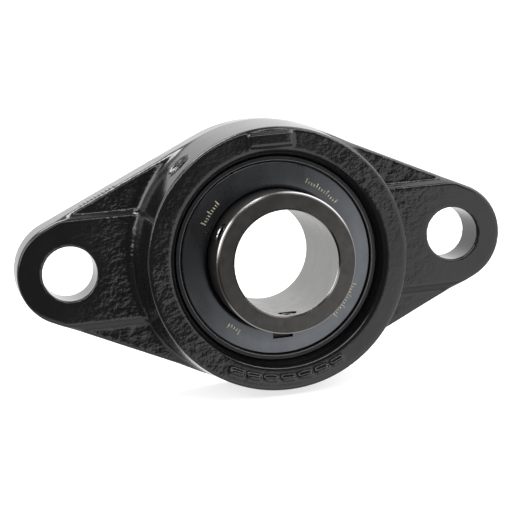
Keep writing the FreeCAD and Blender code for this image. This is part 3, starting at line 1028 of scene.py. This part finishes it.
    def dress(self, piece: bpy.types.Object, paint: bpy.types.Material) -> None:
        """Paints the casting and puts it in place of its plain node."""
        dress(piece, paint)
        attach(piece, "housing_body")
        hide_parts("housing")


@dataclass
class EdgeRibs:
    """A short row of small cast ribs across the upper left side wall of the flange."""

    housing: Housing
    count: int = 10
    first_x: float = -53.4
    pitch: float = 1.12
    rib_r: float = 0.3
    front_depth: float = 11.0
    length: float = 5.5

    def build(self) -> bpy.types.Object:
        """Builds the ribs, each a rounded rod half sunk in the wall.

        A rod is a grid of 9 by 8 points: along its length the radius follows a half circle at
        each end, and round it the angle makes a full turn.

        Returns:
            The ribs as one object.
        """
        sizes = self.housing.sizes
        lean = (sizes.hub_r - (sizes.half_length - sizes.bolt_reach)) / sizes.bolt_reach
        rise = math.sqrt(1 - lean * lean)
        middle = self.first_x + self.pitch * np.arange(self.count)
        share = np.linspace(0, np.pi, 9)
        turn = np.linspace(0, 2 * np.pi, 8, endpoint=False)
        swell = self.rib_r * np.maximum(np.sin(share), 0.05) ** 0.4
        depth = self.front_depth - 0.5 * self.length * (1 - np.cos(share))
        across = swell[:, None] * np.cos(turn)
        out = swell[:, None] * np.sin(turn) - self.housing.side_draft * depth[:, None]
        foot_u = -middle[:, None, None]
        foot_v = (sizes.hub_r - lean * foot_u) / rise
        x = -(foot_u + rise * across + lean * out)
        z = foot_v - lean * across + rise * out
        y = np.broadcast_to(-depth[:, None], x.shape)
        i, j = np.meshgrid(np.arange(8), np.arange(8), indexing="ij")
        side = (j + 1) % 8
        quads = np.stack([i * 8 + j, i * 8 + side, (i + 1) * 8 + side, (i + 1) * 8 + j], -1).reshape(-1, 4)
        caps = np.array([[3, 2, 1, 0], [7, 4, 3, 0], [7, 6, 5, 4], [64, 65, 66, 67], [64, 67, 68, 71],
                         [68, 69, 70, 71]])
        one = np.concatenate([quads, caps])
        faces = (one[None] + 72 * np.arange(self.count)[:, None, None]).reshape(-1, 4)
        return mesh_piece("edge_ribs", np.stack([x, y, z], axis=-1).reshape(-1, 3), faces, 180.0)

    def dress(self, piece: bpy.types.Object, paint: bpy.types.Material) -> None:
        """Paints the ribs like the casting and fixes them to the housing."""
        dress(piece, paint)
        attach(piece, "housing_body")


# ---------------------------------------------------------------- the insert


class Side(Enum):
    """Which side of the balls a piece is on: the sign turns a distance into a step along y."""

    FRONT = -1
    REAR = 1

    @property
    def word(self) -> str:
        """The side's name as the nodes spell it."""
        return self.name.lower()


@dataclass
class Flinger:
    """A pressed disc that turns with the inner ring and throws water off."""

    sizes: UnitSizes
    side: Side
    sheet: float = 0.6
    rise: float = 0.6
    rim_d: float = 8.1
    bend_r: float = 1.25
    hub_d: float = 7.85
    notch_half_width: float = 2.95
    notch_r: float = 23.35
    turns: int = 256

    def front_d(self, radius: Array) -> Array:
        """The outer face's distance from the balls: a gentle dish that rises towards the hub."""
        bend = self.sizes.land_r + self.bend_r
        share = (self.sizes.flinger_r - radius) / (self.sizes.flinger_r - bend)
        return self.rim_d + self.sheet + self.rise * smooth_step(-0.35, 1.0, share)

    def profile(self) -> Array:
        """The section, as rows of radius and y: face, hub bend, hub end and back.

        Returns:
            The closed section, counterclockwise for its side.
        """
        land, rim = self.sizes.land_r + 0.02, self.sizes.flinger_r
        radius = np.linspace(rim - 0.25, land + self.bend_r, 24)
        face_d = self.front_d(radius)
        turn = np.linspace(0, np.pi / 2, 9)[1:]
        arc_r = land + self.bend_r - (self.bend_r - 0.02) * np.sin(turn)
        arc_d = face_d[-1] - self.bend_r + self.bend_r * np.cos(turn)
        inner = self.bend_r - self.sheet
        back_arc_r = land + self.bend_r - inner * np.sin(turn[::-1])
        back_arc_d = face_d[-1] - self.bend_r + inner * np.cos(turn[::-1])
        edge = np.linspace(-np.pi / 2, np.pi / 2, 7)
        edge_r = rim - 0.25 + 0.25 * np.cos(edge)
        edge_d = face_d[0] - self.sheet / 2 + self.sheet / 2 * np.sin(edge)
        rows_r = [radius, arc_r, [land + 0.03, land + self.sheet], back_arc_r,
                  radius[::-1][:-1], edge_r[:-1]]
        rows_d = [face_d, arc_d, [self.hub_d, self.hub_d], back_arc_d,
                  face_d[::-1][:-1] - self.sheet, edge_d[:-1]]
        r, d = np.concatenate(rows_r), np.concatenate(rows_d)
        section = np.stack([r, -self.sizes.ball_depth + self.side.value * d], axis=1)
        return section if self.side is Side.REAR else section[::-1]

    def build(self) -> bpy.types.Object:
        """Builds the disc and cuts its notch."""
        points, quads = lathe(self.profile(), self.turns)
        piece = mesh_piece("flinger_disc_" + self.side.word, points, quads)
        low = (-self.notch_half_width, -45.0, -self.notch_r)
        cutter = mesh_piece("notch_cutter", *block(low, (self.notch_half_width, 5.0, 0.0)))
        carve(piece, cutter)
        return piece

    def dress(self, piece: bpy.types.Object, material: bpy.types.Material) -> None:
        """Finishes the disc and puts it in place of its plain node."""
        dress(piece, material)
        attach(piece, "inner_ring_body")
        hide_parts("flinger_" + self.side.word)


@dataclass
class EtchedTicks:
    """Rows of small etched ticks on the front flinger: plain scales with every fourth tick longer."""

    flinger: Flinger
    pitch: float = 0.9
    half_width: float = 0.17
    low: float = -0.8
    short_high: float = 0.1
    long_high: float = 0.8
    proud: float = 0.012
    rows: tuple[tuple[float, float, int], ...] = (
        (51.0, 23.9, 13),
        (141.0, 23.9, 9),
        (233.0, 23.9, 5),
        (-36.5, 24.6, 13),
    )

    def bars(self) -> Array:
        """All ticks as rows: centre angle, radius, low and high across, low and high outwards."""
        rows = []
        for middle, radius, count in self.rows:
            place = np.arange(count)
            angle = math.radians(middle) + ((count - 1) / 2 - place) * self.pitch / radius
            high = np.where(place % 4 == 0, self.long_high, self.short_high)
            side = np.full(count, self.half_width)
            rows.append(np.stack([angle, np.full(count, radius), -side, side,
                                  np.full(count, self.low), high], axis=1))
        return np.concatenate(rows)

    def build(self) -> bpy.types.Object:
        """Builds every bar as a thin curved patch on the flinger's face.

        Each bar is a grid of 4 by 2 points; a point's angle grows with its place across and its
        radius with its place outwards, and its y follows the flinger's dish.

        Returns:
            The ticks as one object with a little thickness.
        """
        bars = self.bars()
        across, outward = np.meshgrid(np.linspace(0, 1, 4), np.linspace(0, 1, 2), indexing="ij")
        middle, base, left, right, low, high = bars.T[:, :, None, None]
        radius = base + low + (high - low) * outward
        angle = middle - (left + (right - left) * across) / base
        depth = self.flinger.sizes.ball_depth + self.flinger.front_d(radius) + self.proud
        points = np.stack([radius * np.cos(angle), -depth, radius * np.sin(angle)], axis=-1)
        cell = np.array([0, 1, 3, 2]) + np.array([0, 2, 4])[:, None]
        quads = (cell[None] + 8 * np.arange(len(bars))[:, None, None]).reshape(-1, 4)
        piece = mesh_piece("flinger_ticks", points.reshape(-1, 3), quads)
        skin = piece.modifiers.new("thickness", "SOLIDIFY")
        skin.thickness = self.proud * MM
        skin.offset = -1.0
        return piece

    def dress(self, piece: bpy.types.Object, effects: SharedEffects) -> None:
        """Finishes the ticks and fixes them to the inner ring."""
        dress(piece, EtchedMark().material(effects))
        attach(piece, "inner_ring_body")


@dataclass
class Insert:
    """The insert bearing's own pieces, which keep their shapes and get their finishes here."""

    sizes: UnitSizes
    ball_count: int = 9

    def finishes(self, effects: SharedEffects) -> dict[str, bpy.types.Material]:
        """Builds the insert's materials.

        Args:
            effects: The shared node groups.

        Returns:
            Each node's material.
        """
        dark = OuterRingSteel(self.sizes.seat_r).material(effects)
        inner = InnerRingSteel(self.sizes.bore_r, self.sizes.land_r).material(effects)
        ball = MachinedSteel("ball_steel", (0.82, 0.82, 0.84), (0.74, 0.74, 0.77), roughness=0.05,
                             roughness_spread=0.06, lines_per_mm=3.0, line_depth=0.0005).material(effects)
        cage = MachinedSteel("cage_steel", (0.48, 0.46, 0.42), (0.38, 0.36, 0.33),
                             roughness=0.34, lines_per_mm=2.0).material(effects)
        rivet = MachinedSteel("rivet_steel", (0.60, 0.59, 0.57), (0.50, 0.49, 0.47),
                              roughness=0.25).material(effects)
        washer = MachinedSteel("washer_steel", (0.035, 0.035, 0.037), (0.06, 0.06, 0.062),
                               roughness=0.38, lines_per_mm=4.0).material(effects)
        screw = MachinedSteel("screw_steel", (0.05, 0.05, 0.052), (0.10, 0.10, 0.105),
                              roughness=0.28, lines_per_mm=4.0).material(effects)
        plug = MachinedSteel("plug_steel", (0.52, 0.51, 0.49), (0.40, 0.39, 0.38),
                             roughness=0.22, lines_per_mm=4.0).material(effects)
        rubber = SealRubber().material(effects)
        table = {"outer_ring": dark, "inner_ring": inner, "cage_front": cage, "cage_rear": cage,
                 "cage_rivets": rivet, "set_screw_1": screw, "set_screw_2": screw,
                 "grease_port_plug": plug}
        table |= {f"ball_{number}": ball for number in range(1, self.ball_count + 1)}
        for side in Side:
            table[f"seal_inner_washer_{side.word}"] = washer
            table[f"seal_outer_washer_{side.word}"] = washer
            table[f"seal_lip_{side.word}"] = rubber
        return table

    def dress(self, nodes: dict[str, bpy.types.Object], effects: SharedEffects) -> None:
        """Gives every node of the insert its finish."""
        for name, material in self.finishes(effects).items():
            dress(nodes[name], material)
            LOG.info("finished %s with %s", name, material.name)


# ---------------------------------------------------------------- the studio


@dataclass(frozen=True)
class SoftBox:
    """A round soft light at infinity: full strength inside one angle, none beyond another."""

    way: tuple[float, float, float]
    inner: float
    outer: float
    strength: float

    def over(self, pen: NodePen, way: bpy.types.NodeSocket, light: object) -> bpy.types.NodeSocket:
        """Lays the box over the light that is there already.

        Args:
            pen: Places the nodes.
            way: The direction being looked at.
            light: The brightness without the box.

        Returns:
            The brightness with the box.
        """
        close = pen.vector("DOT_PRODUCT", way, tuple(Vector(self.way).normalized()))
        low, high = math.cos(math.radians(self.outer)), math.cos(math.radians(self.inner))
        return pen.weigh(pen.spread(close, low, high, 0.0, 1.0, smooth=True), light, self.strength)


@dataclass
class Studio:
    """Camera, floor, surroundings and lamps."""

    sizes: UnitSizes
    eye: tuple[float, float, float] = (-92.8, -441.5, 55.6)
    forward: tuple[float, float, float] = (0.2026, 0.9710, -0.1265)
    up: tuple[float, float, float] = (0.1046, 0.1070, 0.9887)
    lens: float = 104.65
    sensor: float = 36.0
    floor_half_size: float = 2500.0
    floor_dark: Colour = (0.46, 0.46, 0.46)
    floor_pale: Colour = (0.5, 0.5, 0.5)
    floor_glow: float = 0.72
    back_left: float = 0.95
    back_right: float = 1.25
    front_dark: float = 0.07
    front_bright: float = 1.5
    strip: float = 5.0
    far_right: float = 0.8
    ceiling: float = 0.35
    ground: float = 0.8
    backdrop: float = 1.3
    warm: tuple[float, float, float, float] = (1.0, 0.9, 0.84, 1.0)
    boxes: tuple[SoftBox, ...] = (
        SoftBox((-0.88, -0.23, 0.41), 8.0, 22.0, 4.5),
        SoftBox((0.72, 0.0, 0.69), 14.0, 40.0, 3.5),
    )

    def camera(self) -> None:
        """Places the camera."""
        data = bpy.data.cameras.new("camera")
        data.lens = self.lens
        data.sensor_width = self.sensor
        data.clip_start, data.clip_end = 0.01, 50.0
        ahead = Vector(self.forward).normalized()
        right = ahead.cross(Vector(self.up)).normalized()
        above = right.cross(ahead)
        turn = Matrix((right, above, -ahead)).transposed().to_4x4()
        placed = bpy.data.objects.new("camera", data)
        placed.matrix_world = Matrix.Translation(Vector(self.eye) * MM) @ turn
        bpy.context.scene.collection.objects.link(placed)
        bpy.context.scene.camera = placed

    def floor(self) -> bpy.types.Object:
        """Lays the pale floor under the housing's lowest point."""
        half, level = self.floor_half_size, -self.sizes.hub_r
        points = np.array([(-half, -half, level), (half, -half, level), (half, half, level),
                           (-half, half, level)])
        floor = mesh_piece("floor", points, np.array([[0, 1, 2, 3]]))
        made, pen, shader = new_material("pale_floor")
        grain = pen.noise(pen.position_mm(), 0.02, 2.0)
        pen.feed(shader.inputs["Base Color"], pen.blend(grain, rgba(self.floor_dark), rgba(self.floor_pale)))
        shader.inputs["Roughness"].default_value = 0.9
        shader.inputs["Specular IOR Level"].default_value = 0.0
        shader.inputs["Emission Color"].default_value = (1, 1, 1, 1)
        shader.inputs["Emission Strength"].default_value = self.floor_glow
        dress(floor, made)
        floor.visible_glossy = False
        return floor

    def surroundings(self) -> None:
        """Lights the scene from all round: bright behind, dark in front but for the lower right.

        In the front half the brightness follows (x - z) / -y, a direction's lean to the lower
        right, and a strip crosses it higher up. Behind, it rises from left to right. The ceiling
        and the ground are dim, and the soft boxes lie over it all.
        """
        world = bpy.data.worlds.new("studio")
        world.use_nodes = True
        pen = NodePen(world.node_tree)
        way = pen.node("ShaderNodeTexCoord").outputs["Generated"]
        parts = pen.node("ShaderNodeSeparateXYZ")
        pen.feed(parts.inputs[0], way)
        x, y, z = parts.outputs
        front = pen.math("MAXIMUM", pen.math("MULTIPLY", y, -1.0), 0.05)
        lean = pen.math("DIVIDE", pen.math("SUBTRACT", x, z), front)
        panel = pen.spread(lean, 0.26, 0.50, self.front_dark, self.front_bright, smooth=True)
        height = pen.math("ABSOLUTE", pen.math("SUBTRACT", z, 0.58))
        ahead = pen.weigh(pen.spread(height, 0.12, 0.06, 0.0, 1.0, smooth=True), panel, self.strip)
        back = pen.spread(x, -0.2, 0.1, self.back_left, self.back_right, smooth=True)
        back = pen.weigh(pen.spread(x, 0.45, 0.8, 0.0, 1.0, smooth=True), back, self.far_right)
        around = pen.weigh(pen.spread(y, -0.2, 0.3, 0.0, 1.0, smooth=True), ahead, back)
        light = pen.weigh(pen.spread(z, 0.72, 0.9, 0.0, 1.0, smooth=True), around, self.ceiling)
        light = pen.weigh(pen.spread(z, -0.6, -0.8, 0.0, 1.0, smooth=True), light, self.ground)
        for box in self.boxes:
            light = box.over(pen, way, light)
        seen = pen.node("ShaderNodeLightPath").outputs["Is Camera Ray"]
        shade = pen.node("ShaderNodeBackground")
        pen.feed(shade.inputs["Strength"], pen.weigh(seen, light, self.backdrop))
        tint = pen.blend(pen.spread(light, 0.1, 0.9), self.warm, (1, 1, 1, 1))
        pen.feed(shade.inputs["Color"], pen.blend(seen, tint, (1, 1, 1, 1)))
        output = pen.node("ShaderNodeOutputWorld")
        pen.feed(output.inputs["Surface"], shade.outputs[0])
        bpy.context.scene.world = world

    def lamp(self, name: str, place: Sequence[float], aim: Sequence[float], size: float,
             watts: float) -> None:
        """Hangs one square soft lamp that points at a place."""
        data = bpy.data.lights.new(name, "AREA")
        data.shape = "SQUARE"
        data.size = size * MM
        data.energy = watts
        lamp = bpy.data.objects.new(name, data)
        start, end = Vector(place) * MM, Vector(aim) * MM
        turn = (end - start).to_track_quat("-Z", "Y")
        lamp.matrix_world = Matrix.Translation(start) @ turn.to_matrix().to_4x4()
        bpy.context.scene.collection.objects.link(lamp)

    def build(self) -> None:
        """Builds the whole studio."""
        self.camera()
        self.floor()
        self.surroundings()
        self.lamp("top_lamp", (-250, 100, 700), (0, 0, 0), 400, 6.0)
        bpy.context.scene.view_settings.view_transform = "Standard"


def main() -> None:
    """Builds and dresses the unit, piece by piece, and then the studio."""
    logging.basicConfig(level=logging.INFO, format="%(name)s: %(message)s")
    sizes = UnitSizes.from_frame(frame["record"])
    effects = SharedEffects()
    housing = Housing(sizes)
    casting = housing.build()
    paint = GlossPaint().material(effects)
    housing.dress(casting, paint)
    LOG.info("built %s: %d faces", casting.name, len(casting.data.polygons))
    ribs = EdgeRibs(housing)
    rib_row = ribs.build()
    ribs.dress(rib_row, paint)
    LOG.info("built %s: %d faces", rib_row.name, len(rib_row.data.polygons))
    flinger_steel = MachinedSteel("flinger_steel", (0.096, 0.102, 0.112), (0.128, 0.137, 0.147),
                                  roughness=0.25, roughness_spread=0.07, lines_per_mm=3.0,
                                  line_depth=0.002).material(effects)
    for side in Side:
        flinger = Flinger(sizes, side)
        disc = flinger.build()
        flinger.dress(disc, flinger_steel)
        LOG.info("built %s: %d faces", disc.name, len(disc.data.polygons))
    ticks = EtchedTicks(Flinger(sizes, Side.FRONT))
    row = ticks.build()
    ticks.dress(row, effects)
    LOG.info("built %s: %d faces", row.name, len(row.data.polygons))
    Insert(sizes).dress(frame["nodes"], effects)
    Studio(sizes).build()


if __name__ == "__main__":
    main()
